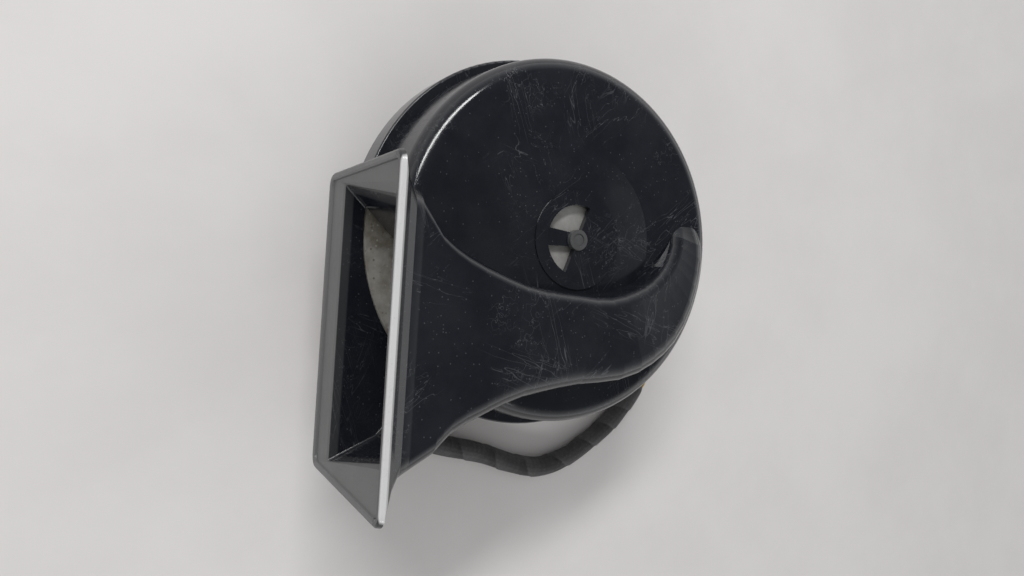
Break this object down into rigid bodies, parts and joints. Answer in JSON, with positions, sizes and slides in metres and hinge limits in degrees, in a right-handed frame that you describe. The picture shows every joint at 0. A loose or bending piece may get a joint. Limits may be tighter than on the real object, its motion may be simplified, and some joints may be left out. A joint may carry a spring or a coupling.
{
  "type": "snail trumpet car horn",
  "caption": "Electric car horn with a coiled black plastic trumpet, a flared rectangular mouth, an electromagnetic diaphragm driver behind it and a short taped lead.",
  "frame": {"origin": "centre of the mounting thread, on the end face of the mounting boss, on the driver's axis", "axes": "+Z along the driver's axis, out of the horn's front face with the vent; the trumpet's mouth opens to -X"},
  "size_m": [0.1077, 0.1137, 0.0626],
  "materials": {
    "black_housing_plastic": "gloss",
    "black_block_plastic": "satin",
    "black_painted_steel": "satin",
    "zinc_steel": "dull zinc plate",
    "spring_steel": "satin",
    "gasket_rubber": "matte",
    "bobbin_plastic": "matte",
    "copper_wire": "satin",
    "contact_metal": "satin",
    "terminal_brass": "satin",
    "resistor_ceramic": "matte",
    "wire_sleeve": "satin",
    "cloth_tape": "matte"
  },
  "bodies": {
    "horn": {"snail_housing": "black_housing_plastic", "centre_cap": "zinc_steel", "front_plate": "zinc_steel", "front_gasket": "gasket_rubber", "diaphragm": "spring_steel", "rear_gasket": "gasket_rubber", "driver_pan": "black_painted_steel", "pole_core": "zinc_steel", "core_retainer": "spring_steel", "coil_bobbin": "bobbin_plastic", "coil_winding": "copper_wire", "coil_tails": "copper_wire", "contact_bracket": "zinc_steel", "bracket_rivets": "zinc_steel", "lower_insulator": "bobbin_plastic", "contact_spring": "spring_steel", "moving_contact": "contact_metal", "upper_insulator": "bobbin_plastic", "fixed_contact_arm": "terminal_brass", "fixed_contact": "contact_metal", "contact_rivets": "terminal_brass", "adjusting_screw": "zinc_steel", "spark_resistor": "resistor_ceramic", "terminal_block": "black_block_plastic", "terminal_blade_live": "terminal_brass", "terminal_blade_ground": "terminal_brass", "connector_live": "terminal_brass", "connector_ground": "terminal_brass", "lead_wire_live": "wire_sleeve", "lead_wire_ground": "wire_sleeve", "lead_tape": "cloth_tape", "conductor_end_live": "terminal_brass", "conductor_end_ground": "terminal_brass"},
    "armature": {"armature": "zinc_steel", "armature_stud": "zinc_steel", "spacer_washer": "zinc_steel", "clamp_washer": "zinc_steel", "stud_nut": "zinc_steel"}
  },
  "joints": [
    {"name": "armature_stroke", "type": "slide", "parent": "horn", "child": "armature", "axis": [0, 0, 1], "range_m": [-0.0008, 0.0003], "stiffness_N_per_m": 1000, "deforming": ["diaphragm", "contact_spring"]}
  ]
}
